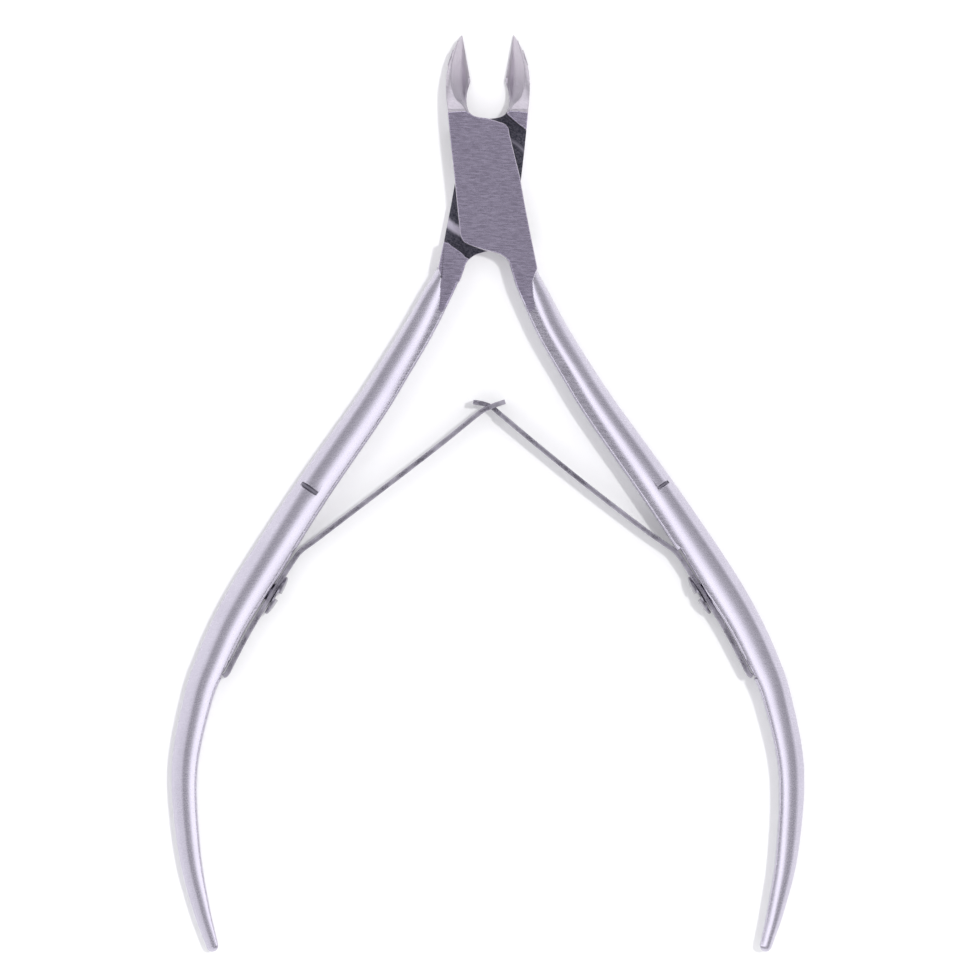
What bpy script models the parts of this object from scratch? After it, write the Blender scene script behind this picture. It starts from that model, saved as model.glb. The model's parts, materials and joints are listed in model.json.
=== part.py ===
"""A cuticle nipper lying open on its rear face, jaws towards +Y and the hollow faces up.

Two forged arms cross in a half-lap joint and turn on a blind screw that enters from the rear. The rear
arm carries the right jaw and the left handle, the front arm the left jaw and the right handle. Each handle
holds a leaf spring by a slotted screw; the tongue of one spring hooks through the window of the other.

Every size is in millimetres and is measured from the pivot, +X right, +Y to the jaw tips, +Z up.
"""

import math

import bmesh
import bpy
import numpy as np
from mathutils import Matrix, Vector

MM = 0.001

# Driving dimensions
JAW_REACH = 16.0
HANDLE_REACH = 83.8
THICKNESS = 5.0
LAP_CLEARANCE = 0.08
STRIP_THICKNESS = 0.5
STRIP_DEPTH = 3.2
SEAT_CLEARANCE = 0.06
RUNNING_FIT = 0.05

PIVOT = Vector((0.0, (HANDLE_REACH - JAW_REACH) / 2, 0.0))
MID = THICKNESS / 2
# How far a blank stands out past both faces before it is ground flat, and how far a cutter reaches past one.
SPARE = 0.4
PAST = 1.0
SLAB_WIDTH = 100.0
SLAB_LENGTH = 220.0

# The head of an arm with its jaw at +X: x, y, and 1 at a corner or 0 on a smooth stretch.
HEAD_OUTLINE = (
    (2.80, JAW_REACH, 1),
    (3.72, 14.30, 0),
    (4.36, 12.30, 0),
    (4.55, 10.50, 0),
    (4.36, 7.40, 0),
    (4.00, 3.60, 1),
    (3.60, 0.10, 1),
    (3.10, -4.90, 1),
    (2.90, -6.10, 0),
    (2.62, -6.62, 0),
    (2.05, -6.93, 0),
    (0.50, -7.48, 1),
    (-0.50, -7.72, 0),
    (-1.62, -8.15, 0),
    (-2.32, -8.85, 0),
    (-2.64, -9.75, 0),
    (-3.10, -10.95, 1),
    (-4.60, -11.40, 1),
    (-5.38, -9.50, 1),
    (-4.75, -6.40, 1),
    (-3.99, -2.50, 1),
    (-3.50, 0.33, 1),
    (-2.34, 5.00, 1),
    (-2.19, 5.74, 0),
    (-1.82, 6.14, 0),
    (-1.20, 6.37, 1),
    (0.00, 6.75, 1),
    (1.75, 7.18, 0),
    (2.15, 7.75, 0),
    (2.32, 8.60, 0),
    (2.20, 9.90, 0),
    (1.90, 10.90, 1),
)

# What the half-lap takes from the head: it ends at the jaw's shoulder and at the cheek's shoulder.
LAP_OUTLINE = (
    (1.00, 9.50, 1),
    (1.95, 7.90, 1),
    (2.12, 7.25, 0),
    (2.50, 6.85, 0),
    (4.04, 5.60, 1),
    (7.50, 2.75, 1),
    (7.50, -10.50, 1),
    (-1.20, -10.50, 1),
    (-1.20, -8.90, 1),
    (-2.44, -8.30, 1),
    (-2.85, -7.85, 0),
    (-3.75, -7.22, 0),
    (-4.71, -6.68, 0),
    (-5.60, -7.40, 1),
    (-9.00, -7.40, 1),
    (-9.00, 9.50, 1),
)

# The front of the jaw: y, then x of the inner edge, ridge and outer side, then z of the edge and the ridge,
# and how far the flank falls outwards from the ridge, as a share of its width.
JAW_STATIONS = (
    (6.90, 2.10, 2.30, 4.30, 6.20, 5.90, 0.08),
    (7.60, 2.12, 2.34, 4.38, 4.40, 4.96, 0.08),
    (8.30, 2.27, 2.80, 4.44, 3.05, 4.80, 0.08),
    (9.00, 2.31, 3.50, 4.48, 2.05, 4.64, 0.12),
    (10.20, 2.10, 3.90, 4.54, 1.20, 4.32, 0.30),
    (11.50, 2.00, 3.97, 4.50, 0.85, 3.86, 0.80),
    (13.00, 2.27, 3.84, 4.12, 0.75, 3.20, 1.10),
    (14.50, 2.53, 3.42, 3.62, 0.70, 2.45, 1.10),
    (16.40, 2.86, 2.87, 2.88, 0.70, 1.35, 1.10),
)
HOLLOW_POWER = 1.9
HOLLOW_POINTS = 5
FLANK_FRACTIONS = (0.35, 0.65, 0.9, 1.1)
JAW_CUT_INNER = -0.5
JAW_CUT_OUTER = 6.0

# The rear of the jaw, ground thinner towards its tip: the rise at the tip, and the box that cuts it.
JAW_RELIEF = 0.35
RELIEF_START = 10.0
RELIEF_MIDDLE = 3.5
RELIEF_SIZE = (6.0, 10.0, 2.0)

# A handle on the +X side, half round with its flat side inwards: x, y, width and depth, the share of the
# width that is flat beside the inner corner, and how far both handles lean to +X there.
HANDLE_STATIONS = (
    (3.55, -8.30, 2.40, 6.60, 0.24, -0.10),
    (4.53, -10.80, 2.80, 6.10, 0.24, -0.17),
    (5.52, -12.80, 3.06, 5.50, 0.22, -0.22),
    (7.28, -16.20, 3.28, 5.10, 0.20, -0.30),
    (9.87, -20.50, 3.42, 5.04, 0.18, -0.33),
    (12.67, -24.90, 3.60, 5.04, 0.16, -0.33),
    (18.78, -33.60, 3.78, 5.04, 0.10, -0.27),
    (24.50, -42.30, 3.92, 4.96, 0.05, -0.13),
    (27.70, -47.50, 3.65, 4.80, 0.04, -0.08),
    (29.90, -52.10, 3.45, 4.50, 0.04, -0.04),
    (31.45, -56.20, 3.12, 4.15, 0.04, -0.02),
    (32.97, -64.00, 2.82, 3.55, 0.04, 0.00),
    (32.50, -72.70, 2.43, 2.95, 0.04, 0.05),
    (31.25, -79.00, 1.85, 2.35, 0.04, 0.09),
    (30.08, -83.10, 1.30, 1.75, 0.04, 0.13),
)
OUTER_POWER = 2.1
INNER_CORNER = 0.08
CORNER_TURNS = (0, 30, 60, 90)
OUTER_TURNS = (90, 74, 58, 42, 26, 12, 0)
END_ROUNDING = 0.65
END_TURNS = (30, 55, 75, 86)

# Saw nicks across the outer front of the handles: where each starts, and how far it reaches across. The
# disc's axis lies above the front face, and the reach is measured at a level just below that face.
NICK_WIDTH = 0.5
NICK_RADIUS = 4.2
NICK_RISE = 2.9
NICK_LEVEL = 0.5
NICK_DIRECTION = ((12.67, -24.90), (24.50, -42.30))
NICK_STARTS = {"rear": (20.4, -32.7), "front": (19.95, -32.4)}
NICK_REACH = {"rear": 2.15, "front": 1.6}

# A spring on the +X handle lies on its seat, then leaves it. The seat runs from the bend to the tail.
SPRING_BEND = (21.10, -41.20)
SPRING_TAIL = (28.30, -53.55)
SEAT_BEFORE_BEND = 1.2
SEAT_PAST_TAIL = 0.8
SEAT_CUT_HEIGHT = 4.0
SEAT_CUT_DEPTH = 8.0
SCREW_FROM_BEND = 4.25
TONGUE_LINE = (
    (20.25, -40.15),
    (18.90, -39.20),
    (16.60, -37.55),
    (11.00, -33.25),
    (5.75, -29.00),
    (1.38, -25.35),
)
TONGUE_TIP = ((0.45, -24.58), (-0.45, -24.20), (-1.60, -24.00))
WINDOW_LINE = (
    (20.25, -40.15),
    (18.90, -39.15),
    (16.60, -37.40),
    (10.50, -32.75),
    (5.00, -28.50),
    (0.95, -25.22),
)
WINDOW_TIP = ((-0.10, -24.62), (-1.00, -24.25), (-1.87, -23.97))
WINDOW_MIDDLE = (0.20, -24.78)
WINDOW_SIZE = (2.45, 2.0)
NECK_MIDDLE = (0.38, -24.60)
NECK_SIZE = (2.55, 1.5)
NECK_SLOPE = math.radians(-30)
WINDOW_SLOPE = math.radians(-31)
STRIP_CUT_WIDTH = 2.4

# The pivot screw, upside down: its countersunk head sits in the rear face.
PIVOT_HEAD_RADIUS = 2.1
PIVOT_SHANK_RADIUS = 1.25
PIVOT_HEAD_SINK = 0.1
PIVOT_CONE = 0.85
PIVOT_RIM = 0.12
PIVOT_TOP = 4.15
PIVOT_CHAMFER = 0.25
PIVOT_END_ROOM = 0.1
PIVOT_SLOT_WIDTH = 0.6
PIVOT_SLOT_DEPTH = 0.4
PIVOT_SLOT_TURN = math.radians(28)

# A spring screw, with z = 0 on the strip; its head stands a hair clear of the strip.
HEAD_RADIUS = 2.3
HEAD_HEIGHT = 0.62
HEAD_RIM = 0.32
HEAD_CLEARANCE = 0.02
HEAD_TURNS = (15, 30, 45, 60, 75, 90)
SHANK_RADIUS = 1.0
SHANK_LENGTH = 2.6
SHANK_CHAMFER = 0.2
SCREW_END_ROOM = 0.3
SCREW_SLOT_WIDTH = 0.7
SCREW_SLOT_DEPTH = 0.4

OUTLINE_STEPS = 3
LOFT_STEPS = 3
TURN_STEPS = 32
HOLE_STEPS = 24
NICK_STEPS = 48

ARM_COLOR = (0.36, 0.35, 0.40)
PIVOT_SCREW_COLOR = (0.42, 0.41, 0.44)
SPRING_COLOR = (0.40, 0.37, 0.46)
SPRING_SCREW_COLOR = (0.45, 0.44, 0.48)


def clear_scene():
    for obj in list(bpy.data.objects):
        bpy.data.objects.remove(obj, do_unlink=True)


def collection(name):
    made = bpy.data.collections.new(name)
    bpy.context.scene.collection.children.link(made)
    return made


def material(name, color, roughness):
    made = bpy.data.materials.new(name)
    made.use_nodes = True
    shader = made.node_tree.nodes["Principled BSDF"]
    shader.inputs["Base Color"].default_value = (*color, 1.0)
    shader.inputs["Roughness"].default_value = roughness
    shader.inputs["Metallic"].default_value = 1.0
    return made


def smooth_rows(rows, steps):
    """Rows of numbers along a smooth curve through the given rows, with steps of them to each span."""
    rows = np.array(rows, dtype=float)
    before = 2 * rows[0] - rows[1]
    after = 2 * rows[-1] - rows[-2]
    padded = [before, *rows, after]
    found = []
    for a, b, c, d in zip(padded, padded[1:], padded[2:], padded[3:]):
        for i in range(steps):
            t = i / steps
            cubic = (3 * b - a - 3 * c + d) * t**3
            square = (2 * a - 5 * b + 4 * c - d) * t**2
            found.append((2 * b + (c - a) * t + square + cubic) / 2)
    found.append(rows[-1])
    return found


def mesh_object(name, mesh, where, home):
    made = bpy.data.objects.new(name, mesh)
    made.location = Vector(where) * MM
    home.objects.link(made)
    return made


def from_curve(curve_object):
    """The curve as a mesh object with its caps welded; the curve goes."""
    bpy.context.view_layer.update()
    evaluated = curve_object.evaluated_get(bpy.context.evaluated_depsgraph_get())
    mesh = bpy.data.meshes.new_from_object(evaluated)
    welded = bmesh.new()
    welded.from_mesh(mesh)
    bmesh.ops.remove_doubles(welded, verts=welded.verts, dist=0.002 * MM)
    bmesh.ops.recalc_face_normals(welded, faces=welded.faces)
    welded.to_mesh(mesh)
    welded.free()
    made = bpy.data.objects.new(curve_object.name, mesh)
    made.matrix_world = curve_object.matrix_world.copy()
    home = curve_object.users_collection[0]
    name = curve_object.name
    bpy.data.objects.remove(curve_object)
    home.objects.link(made)
    made.name = name
    return made


def flat_curve(name, points, low, high, where, home, closed=True):
    """A flat outline, or with closed=False an upright ribbon along the points, from z low to high."""
    curve = bpy.data.curves.new(name, "CURVE")
    curve.dimensions = "2D"
    curve.fill_mode = "BOTH" if closed else "NONE"
    curve.extrude = (high - low) / 2 * MM
    curve.resolution_u = OUTLINE_STEPS
    spline = curve.splines.new("BEZIER")
    spline.bezier_points.add(len(points) - 1)
    for knot, (x, y, corner) in zip(spline.bezier_points, points):
        knot.co = (x * MM, y * MM, 0.0)
        knot.handle_left_type = "VECTOR" if corner else "AUTO"
        knot.handle_right_type = knot.handle_left_type
    spline.use_cyclic_u = closed
    made = bpy.data.objects.new(name, curve)
    made.location = (Vector(where) + Vector((0.0, 0.0, (low + high) / 2))) * MM
    home.objects.link(made)
    return from_curve(made)


def mirrored(points, side):
    return [(side * x, *rest) for x, *rest in points]


def loft(name, rings, where, home):
    """A closed solid through rings of equally many points."""
    shape = bmesh.new()
    layers = [[shape.verts.new(Vector(point) * MM) for point in ring] for ring in rings]
    for lower, upper in zip(layers, layers[1:]):
        for i in range(len(lower)):
            j = (i + 1) % len(lower)
            shape.faces.new((lower[i], lower[j], upper[j], upper[i]))
    shape.faces.new(layers[0])
    shape.faces.new(layers[-1])
    bmesh.ops.recalc_face_normals(shape, faces=shape.faces)
    mesh = bpy.data.meshes.new(name)
    shape.to_mesh(mesh)
    shape.free()
    return mesh_object(name, mesh, where, home)


def box(name, size, where, home, rotation=Matrix()):
    """A box centred on its place, turned about its own middle."""
    shape = bmesh.new()
    bmesh.ops.create_cube(shape, size=1.0)
    bmesh.ops.scale(shape, vec=Vector(size) * MM, verts=shape.verts)
    shape.transform(rotation)
    mesh = bpy.data.meshes.new(name)
    shape.to_mesh(mesh)
    shape.free()
    return mesh_object(name, mesh, where, home)


def rod(name, radius, length, where, home, rotation, sides):
    """A cylinder centred on its place, its axis along Z before the rotation."""
    shape = bmesh.new()
    bmesh.ops.create_cone(
        shape, cap_ends=True, segments=sides, radius1=radius * MM, radius2=radius * MM, depth=length * MM
    )
    shape.transform(rotation)
    mesh = bpy.data.meshes.new(name)
    shape.to_mesh(mesh)
    shape.free()
    return mesh_object(name, mesh, where, home)


def turned(name, profile, where, home):
    """A profile of radius and height, listed from the top down, turned about Z."""
    mesh = bpy.data.meshes.new(name)
    points = [(r * MM, 0.0, z * MM) for r, z in profile]
    mesh.from_pydata(points, [(i, i + 1) for i in range(len(points) - 1)], [])
    made = mesh_object(name, mesh, where, home)
    screw = made.modifiers.new("turn", "SCREW")
    screw.axis = "Z"
    screw.steps = TURN_STEPS
    screw.render_steps = TURN_STEPS
    screw.use_merge_vertices = True
    screw.merge_threshold = 0.000001
    return made


def hold(child, parent):
    """Parents the child and leaves it where it is."""
    bpy.context.view_layer.update()
    child.parent = parent
    child.matrix_parent_inverse = parent.matrix_world.inverted()


def combine(target, other, operation):
    """A live EXACT Boolean; the other object stays as a hidden wire guide that moves with the target."""
    hold(other, target)
    other.hide_render = True
    other.display_type = "WIRE"
    made = target.modifiers.new(other.name, "BOOLEAN")
    made.operation = operation
    made.object = other
    made.solver = "EXACT"


def handle_section(width, depth, flat):
    """Points round a half-round bar: across from its middle, outwards positive, and up."""
    half, rise = width / 2, depth / 2
    corner = INNER_CORNER * width
    crest = -half + corner + flat * width
    upper = []
    for turn in CORNER_TURNS:
        angle = math.radians(turn)
        upper.append((-half + corner * (1 - math.cos(angle)), rise - corner * (1 - math.sin(angle))))
    for turn in OUTER_TURNS:
        angle = math.radians(turn)
        across = max(math.cos(angle), 0.0) ** (2 / OUTER_POWER)
        upper.append((crest + (half - crest) * across, rise * math.sin(angle) ** (2 / OUTER_POWER)))
    lower = [(across, -up) for across, up in reversed(upper[:-1])]
    return upper + lower


def handle_rings(side):
    """Rings across the handle from inside the head to its rounded end."""
    rows = smooth_rows(HANDLE_STATIONS, LOFT_STEPS)
    centres = [Vector((row[0], row[1])) for row in rows]
    ahead = [(b - a).normalized() for a, b in zip(centres[:1] + centres[:-1], centres[1:] + centres[-1:])]
    places = [(centre, along, *row[2:], 1.0) for centre, along, row in zip(centres, ahead, rows)]
    centre, along, width, depth, flat, lean, _ = places[-1]
    for turn in END_TURNS:
        forward = centre + along * END_ROUNDING * math.sin(math.radians(turn))
        places.append((forward, along, width, depth, flat, lean, math.cos(math.radians(turn))))
    rings = []
    for centre, along, width, depth, flat, lean, scale in places:
        outward = Vector((-along.y, along.x))
        ring = []
        for across, up in handle_section(scale * width, scale * depth, flat):
            spot = centre + outward * across
            ring.append((side * spot.x + lean, spot.y, MID + up))
        rings.append(ring)
    return rings


def jaw_front_rings(side):
    """Rings of the solid ground away in front of the jaw: the hollow, the ridge and the outer flank."""
    rings = []
    top = THICKNESS + 2 * PAST
    start, end = side * JAW_CUT_INNER, side * JAW_CUT_OUTER
    for y, inner, ridge, outer, edge_z, ridge_z, fall in smooth_rows(JAW_STATIONS, LOFT_STEPS):
        ring = [(start, y, edge_z), (side * inner, y, edge_z)]
        for i in range(1, HOLLOW_POINTS + 1):
            u = i / HOLLOW_POINTS
            rise = (ridge_z - edge_z) * u**HOLLOW_POWER
            ring.append((side * (inner + (ridge - inner) * u), y, edge_z + rise))
        for u in FLANK_FRACTIONS:
            ring.append((side * (ridge + (outer - ridge) * u), y, ridge_z - fall * (outer - ridge) * u**2))
        ring.append((end, y, ring[-1][2]))
        ring.append((end, y, top))
        ring.append((start, y, top))
        rings.append(ring)
    return rings


def seat_frame(side):
    """The direction along a spring's seat from bend to tail, and the way that faces off the handle."""
    along = (Vector(SPRING_TAIL) - Vector(SPRING_BEND)).normalized()
    off = Vector((-abs(along.y), -along.x))
    return Vector((side * along.x, along.y)), Vector((side * off.x, off.y))


def seat_rotation(side):
    """Turns local X along the seat and local Z off the handle."""
    along, off = seat_frame(side)
    x_axis = Vector((along.x, along.y, 0.0))
    z_axis = Vector((off.x, off.y, 0.0))
    y_axis = z_axis.cross(x_axis)
    return Matrix((x_axis, y_axis, z_axis)).transposed().to_4x4()


def screw_place(side):
    along, _ = seat_frame(side)
    bend = Vector((side * SPRING_BEND[0], SPRING_BEND[1]))
    flat = bend + along * SCREW_FROM_BEND
    return Vector((flat.x, flat.y, MID))


def make_arm(name, which, parts, cutters, finish):
    """One forging: jaw, half-lap plate and handle. The rear arm's jaw is at +X, the front arm's at -X."""
    jaw_side = 1 if which == "rear" else -1
    handle_side = -jaw_side
    arm = flat_curve(name, mirrored(HEAD_OUTLINE, jaw_side), -SPARE, THICKNESS + SPARE, PIVOT, parts)
    combine(arm, loft(f"{name}.handle", handle_rings(handle_side), PIVOT, cutters), "UNION")
    slab_size = (SLAB_WIDTH, SLAB_LENGTH, THICKNESS)
    combine(arm, box(f"{name}.slab", slab_size, PIVOT + Vector((0, 0, MID)), cutters), "INTERSECT")
    if which == "rear":
        low, high = MID - LAP_CLEARANCE / 2, THICKNESS + PAST
    else:
        low, high = -PAST, MID + LAP_CLEARANCE / 2
    lap = flat_curve(f"{name}.lap", mirrored(LAP_OUTLINE, jaw_side), low, high, PIVOT, cutters)
    combine(arm, lap, "DIFFERENCE")
    combine(arm, loft(f"{name}.jaw_front", jaw_front_rings(jaw_side), PIVOT, cutters), "DIFFERENCE")
    slope = math.atan2(JAW_RELIEF, JAW_REACH - RELIEF_START)
    relief_place = PIVOT + Vector((jaw_side * RELIEF_MIDDLE, RELIEF_START, 0.0))
    corner = Vector((0, RELIEF_SIZE[1] / 2, -RELIEF_SIZE[2] / 2)) * MM
    tilt = Matrix.Rotation(slope, 4, "X") @ Matrix.Translation(corner)
    combine(arm, box(f"{name}.relief", RELIEF_SIZE, relief_place, cutters, tilt), "DIFFERENCE")
    cut_pivot_hole(arm, which, cutters)
    cut_nick(arm, which, handle_side, cutters)
    cut_spring_seat(arm, handle_side, cutters)
    arm.data.materials.append(finish)
    return arm


def cut_pivot_hole(arm, which, cutters):
    """Through and countersunk in the rear arm, blind in the front arm."""
    radius = PIVOT_SHANK_RADIUS + RUNNING_FIT
    if which == "rear":
        wide = PIVOT_HEAD_RADIUS + RUNNING_FIT
        cone_top = PIVOT_HEAD_SINK + PIVOT_CONE + RUNNING_FIT
        rim_top = PIVOT_HEAD_SINK + PIVOT_RIM + RUNNING_FIT
        profile = [(0.0, THICKNESS), (radius, THICKNESS), (radius, cone_top), (wide, rim_top), (wide, -PAST)]
        profile.append((0.0, -PAST))
    else:
        end = PIVOT_TOP + PIVOT_END_ROOM
        profile = [(0.0, end), (radius, end), (radius, 0.0), (0.0, 0.0)]
    combine(arm, turned(f"{arm.name}.bore", profile, PIVOT, cutters), "DIFFERENCE")


def cut_nick(arm, which, side, cutters):
    """A disc's cut into the outer front of the handle, square to it."""
    upper, lower = NICK_DIRECTION
    along = (Vector(lower) - Vector(upper)).normalized()
    inward = Vector((along.y, -along.x))
    half_chord = math.sqrt(NICK_RADIUS**2 - (NICK_RISE + NICK_LEVEL) ** 2)
    centre = Vector(NICK_STARTS[which]) + inward * (NICK_REACH[which] - half_chord)
    turn = Matrix.Rotation(math.atan2(along.y, side * along.x), 4, "Z") @ Matrix.Rotation(math.pi / 2, 4, "Y")
    place = PIVOT + Vector((side * centre.x, centre.y, THICKNESS + NICK_RISE))
    disc = rod(f"{arm.name}.nick", NICK_RADIUS, NICK_WIDTH, place, cutters, turn, NICK_STEPS)
    combine(arm, disc, "DIFFERENCE")


def cut_spring_seat(arm, side, cutters):
    """The flat ground on the inner side of the handle for the spring, and the hole for its screw."""
    rotation = seat_rotation(side)
    along, off = seat_frame(side)
    length = (Vector(SPRING_TAIL) - Vector(SPRING_BEND)).length + SEAT_BEFORE_BEND + SEAT_PAST_TAIL
    bend = Vector((side * SPRING_BEND[0], SPRING_BEND[1]))
    face = STRIP_THICKNESS / 2 + SEAT_CLEARANCE
    middle = bend + along * (length / 2 - SEAT_BEFORE_BEND) + off * (SEAT_CUT_HEIGHT / 2 - face)
    place = PIVOT + Vector((middle.x, middle.y, MID))
    size = (length, SEAT_CUT_DEPTH, SEAT_CUT_HEIGHT)
    combine(arm, box(f"{arm.name}.seat", size, place, cutters, rotation), "DIFFERENCE")
    deep = SHANK_LENGTH + SCREW_END_ROOM
    into = PIVOT + screw_place(side) + Vector((off.x, off.y, 0.0)) * (STRIP_THICKNESS - deep) / 2
    radius = SHANK_RADIUS + RUNNING_FIT
    hole = rod(f"{arm.name}.screw_hole", radius, deep, into, cutters, rotation, HOLE_STEPS)
    combine(arm, hole, "DIFFERENCE")


def make_spring(name, side, line, tip, parts, cutters, finish):
    """A flat strip from its tail on the seat, past the bend, to its tip; its origin is at the bend."""
    bend = Vector((*SPRING_BEND, 0.0))
    route = [SPRING_TAIL, SPRING_BEND, *line, *tip]
    corners = (1, 1, *[0] * (len(route) - 3), 1)
    points = [(side * (x - bend.x), y - bend.y, corner) for (x, y), corner in zip(route, corners)]
    origin = PIVOT + Vector((side * bend.x, bend.y, 0.0))
    low = MID - STRIP_DEPTH / 2
    strip = flat_curve(name, points, low, low + STRIP_DEPTH, origin, parts, closed=False)
    thicken = strip.modifiers.new("thickness", "SOLIDIFY")
    thicken.thickness = STRIP_THICKNESS * MM
    thicken.offset = 0.0
    radius = SHANK_RADIUS + 2 * RUNNING_FIT
    length = STRIP_THICKNESS + 2 * PAST
    place = PIVOT + screw_place(side)
    hole = rod(f"{name}.hole", radius, length, place, cutters, seat_rotation(side), HOLE_STEPS)
    combine(strip, hole, "DIFFERENCE")
    strip.data.materials.append(finish)
    return strip


def cut_window(strip, side, cutters):
    """The opening near the tip that the other spring's neck passes through."""
    length, height = WINDOW_SIZE
    place = PIVOT + Vector((side * WINDOW_MIDDLE[0], WINDOW_MIDDLE[1], MID))
    turn = Matrix.Rotation(side * WINDOW_SLOPE, 4, "Z")
    size = (length, STRIP_CUT_WIDTH, height)
    combine(strip, box(f"{strip.name}.window", size, place, cutters, turn), "DIFFERENCE")


def cut_neck(strip, side, cutters):
    """Both edges cut back, so that a T-shaped head is left at the tip."""
    length, height = NECK_SIZE
    rise = height / 2 + STRIP_DEPTH / 2
    turn = Matrix.Rotation(side * NECK_SLOPE, 4, "Z")
    for label, direction in (("front", 1), ("rear", -1)):
        place = PIVOT + Vector((side * NECK_MIDDLE[0], NECK_MIDDLE[1], MID + direction * rise))
        size = (length, STRIP_CUT_WIDTH, STRIP_DEPTH)
        combine(strip, box(f"{strip.name}.neck_{label}", size, place, cutters, turn), "DIFFERENCE")


def make_spring_screw(name, side, parts, cutters, finish):
    """A slotted screw with a low domed head, square to the strip."""
    rise = HEAD_HEIGHT - HEAD_RIM
    turns = [math.radians(turn) for turn in HEAD_TURNS]
    profile = [(0.0, HEAD_HEIGHT)]
    profile += [(HEAD_RADIUS * math.sin(turn), HEAD_RIM + rise * math.cos(turn)) for turn in turns]
    profile += [(HEAD_RADIUS, HEAD_CLEARANCE), (SHANK_RADIUS, HEAD_CLEARANCE)]
    profile += [(SHANK_RADIUS, SHANK_CHAMFER - SHANK_LENGTH), (SHANK_RADIUS - SHANK_CHAMFER, -SHANK_LENGTH)]
    profile.append((0.0, -SHANK_LENGTH))
    _, off = seat_frame(side)
    place = PIVOT + screw_place(side) + Vector((off.x, off.y, 0.0)) * STRIP_THICKNESS / 2
    screw = turned(name, profile, place, parts)
    screw.rotation_euler = seat_rotation(side).to_euler()
    top = Vector((off.x, off.y, 0.0)) * HEAD_HEIGHT
    size = (SCREW_SLOT_WIDTH, 3 * HEAD_RADIUS, 2 * SCREW_SLOT_DEPTH)
    slot = box(f"{name}.slot", size, place + top, cutters, seat_rotation(side))
    combine(screw, slot, "DIFFERENCE")
    screw.data.materials.append(finish)
    return screw


def make_pivot_screw(parts, cutters, finish):
    """A countersunk screw driven from the rear, ending blind in the front arm."""
    cone_top = PIVOT_HEAD_SINK + PIVOT_CONE
    profile = (
        (0.0, PIVOT_TOP),
        (PIVOT_SHANK_RADIUS - PIVOT_CHAMFER, PIVOT_TOP),
        (PIVOT_SHANK_RADIUS, PIVOT_TOP - PIVOT_CHAMFER),
        (PIVOT_SHANK_RADIUS, cone_top),
        (PIVOT_HEAD_RADIUS, PIVOT_HEAD_SINK + PIVOT_RIM),
        (PIVOT_HEAD_RADIUS, PIVOT_HEAD_SINK),
        (0.0, PIVOT_HEAD_SINK),
    )
    screw = turned("pivot_screw", profile, PIVOT, parts)
    size = (3 * PIVOT_HEAD_RADIUS, PIVOT_SLOT_WIDTH, 2 * (PIVOT_HEAD_SINK + PIVOT_SLOT_DEPTH))
    slot = box("pivot_screw.slot", size, PIVOT, cutters, Matrix.Rotation(PIVOT_SLOT_TURN, 4, "Z"))
    combine(screw, slot, "DIFFERENCE")
    screw.data.materials.append(finish)
    return screw


def shade(obj, degrees=35):
    obj.data.shade_smooth()
    obj.data.set_sharp_from_angle(angle=math.radians(degrees))


def main():
    clear_scene()
    parts = collection("cuticle_nipper")
    cutters = collection("cuticle_nipper_cutters")
    front_arm = make_arm("front_arm", "front", parts, cutters, material("front_arm_steel", ARM_COLOR, 0.34))
    rear_arm = make_arm("rear_arm", "rear", parts, cutters, material("rear_arm_steel", ARM_COLOR, 0.34))
    pivot_screw = make_pivot_screw(parts, cutters, material("pivot_screw_steel", PIVOT_SCREW_COLOR, 0.3))

    strip_steel = material("tongue_spring_steel", SPRING_COLOR, 0.3)
    tongue = make_spring("tongue_spring", 1, TONGUE_LINE, TONGUE_TIP, parts, cutters, strip_steel)
    cut_neck(tongue, 1, cutters)
    strip_steel = material("window_spring_steel", SPRING_COLOR, 0.3)
    window = make_spring("window_spring", -1, WINDOW_LINE, WINDOW_TIP, parts, cutters, strip_steel)
    cut_window(window, -1, cutters)

    screw_steel = material("tongue_spring_screw_steel", SPRING_SCREW_COLOR, 0.28)
    tongue_screw = make_spring_screw("tongue_spring_screw", 1, parts, cutters, screw_steel)
    screw_steel = material("window_spring_screw_steel", SPRING_SCREW_COLOR, 0.28)
    window_screw = make_spring_screw("window_spring_screw", -1, parts, cutters, screw_steel)

    for held, holder in (
        (pivot_screw, front_arm),
        (tongue, front_arm),
        (tongue_screw, front_arm),
        (window, rear_arm),
        (window_screw, rear_arm),
    ):
        hold(held, holder)
    for made in parts.objects:
        shade(made)


main()
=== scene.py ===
"""Looks of a cuticle nipper: fine forgings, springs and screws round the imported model, on a pale floor."""

import json
import math

import bmesh
import bpy
import numpy as np
from mathutils import Matrix, Vector


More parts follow.
